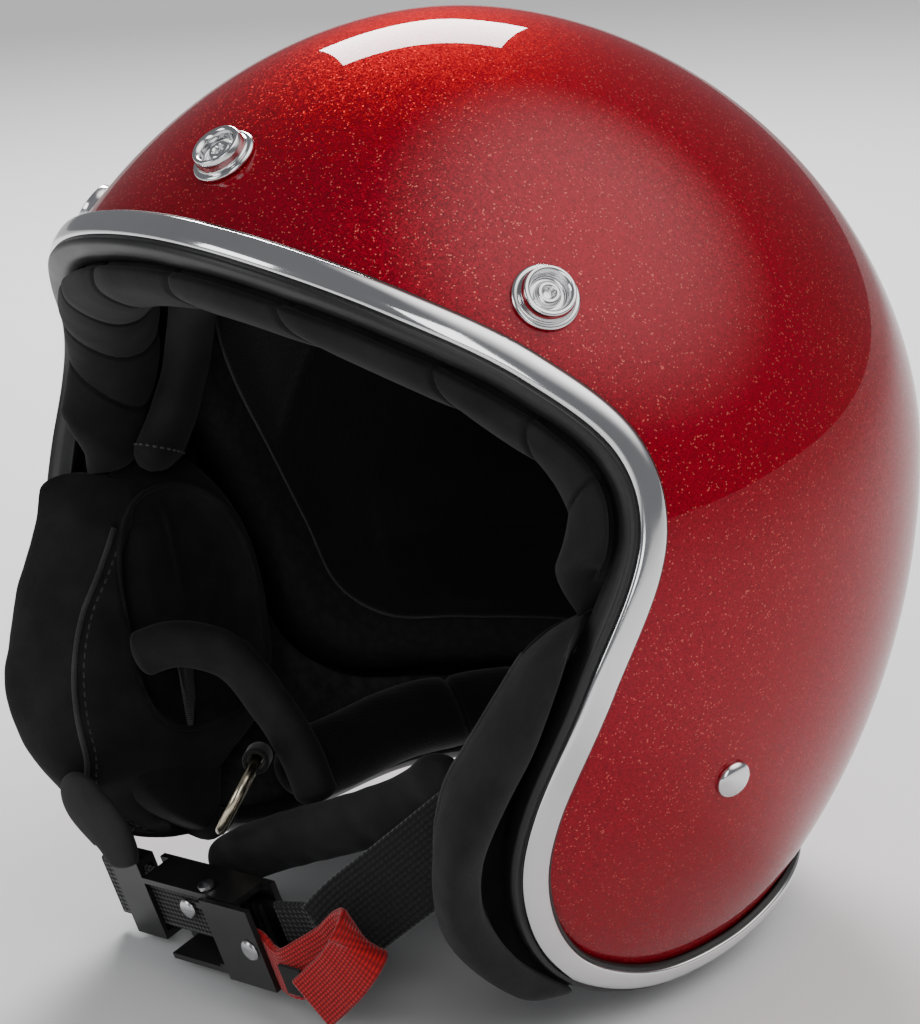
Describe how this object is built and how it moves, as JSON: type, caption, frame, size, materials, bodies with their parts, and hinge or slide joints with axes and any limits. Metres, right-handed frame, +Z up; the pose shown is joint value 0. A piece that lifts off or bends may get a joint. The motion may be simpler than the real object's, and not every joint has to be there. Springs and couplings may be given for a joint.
{
  "type": "open-face motorcycle helmet",
  "caption": "Open-face helmet with painted shell, plated edge trim, padded lining, visor press studs and a quick-release chin strap.",
  "frame": {"origin": "middle of the neck opening, level with the underside of the edge trim", "axes": "+Z up through the crown, -Y out of the face opening, +X to the wearer's left"},
  "size_m": [0.2388, 0.2388, 0.2604],
  "materials": {
    "brass": "worn plated brass",
    "buckle_plastic": "glass-filled nylon, satin",
    "chrome": "polished",
    "foam": "expanded polystyrene, matt",
    "lining": "brushed knit",
    "padding": "suede-like cover over soft foam",
    "paint": "metal-flake paint under clear coat on a moulded fibre shell",
    "plastic": "moulded",
    "rubber": "satin",
    "steel": "plated",
    "tab_fabric": "woven red tape",
    "webbing": "woven polyester"
  },
  "bodies": {
    "helmet": {"snap_socket_centre": "chrome", "snap_rivet_centre": "chrome", "snap_washer_centre": "steel", "snap_socket_left": "chrome", "snap_rivet_left": "chrome", "snap_washer_left": "steel", "snap_socket_right": "chrome", "snap_rivet_right": "chrome", "snap_washer_right": "steel", "strap_rivet_left": "chrome", "strap_plate_left": "steel", "strap_end_left": "webbing", "strap_rivet_right": "chrome", "strap_plate_right": "steel", "strap_end_right": "webbing", "outer_shell": "paint", "edge_rubber": "rubber", "edge_chrome": "chrome", "impact_liner": "foam", "crown_liner": "lining", "brow_pad": "padding", "headband_pad": "padding", "neck_roll": "lining", "cheek_pad_left": "padding", "cheek_plate_left": "plastic", "ear_pad_left": "lining", "cheek_pad_right": "padding", "cheek_plate_right": "plastic", "ear_pad_right": "lining", "strap_run_left": "webbing", "strap_run_right": "webbing"},
    "chin_strap": {"strap_left": "webbing", "strap_right": "webbing", "strap_sleeve": "padding", "chin_pad": "padding", "strap_flap": "padding", "buckle_frame": "buckle_plastic", "buckle_rivet": "steel", "lever_pin": "steel", "buckle_tongue": "buckle_plastic", "lever_spring": "steel", "ring_loop": "webbing"},
    "lever": {"buckle_lever": "buckle_plastic", "tab_rivet": "steel", "pull_tab": "tab_fabric", "tab_patch": "buckle_plastic"},
    "slider": {"strap_slider": "buckle_plastic"},
    "ring": {"lock_ring": "brass"}
  },
  "joints": [
    {"name": "strap_swing", "type": "hinge", "parent": "helmet", "child": "chin_strap", "pos_m": [-0.00429, -0.07257, 0.04864], "axis": [0.9619, 0.2441, 0.1232], "range_deg": [-22, 5]},
    {"name": "lever_open", "type": "hinge", "parent": "chin_strap", "child": "lever", "pos_m": [-0.01506, -0.08287, 0.01227], "axis": [0.1392, 0.2396, -0.9609], "range_deg": [0, 50], "stiffness_Nm_per_rad": 0.02, "springref_deg": -34.38},
    {"name": "slider_slide", "type": "slide", "parent": "chin_strap", "child": "slider", "axis": [0.9903, -0.0337, 0.135], "range_m": [-0.005, 0.004]},
    {"name": "ring_swing", "type": "hinge", "parent": "chin_strap", "child": "ring", "pos_m": [-0.022, -0.061, 0.054], "axis": [0.6188, -0.7829, 0.0638], "range_deg": [-30, 7]}
  ]
}
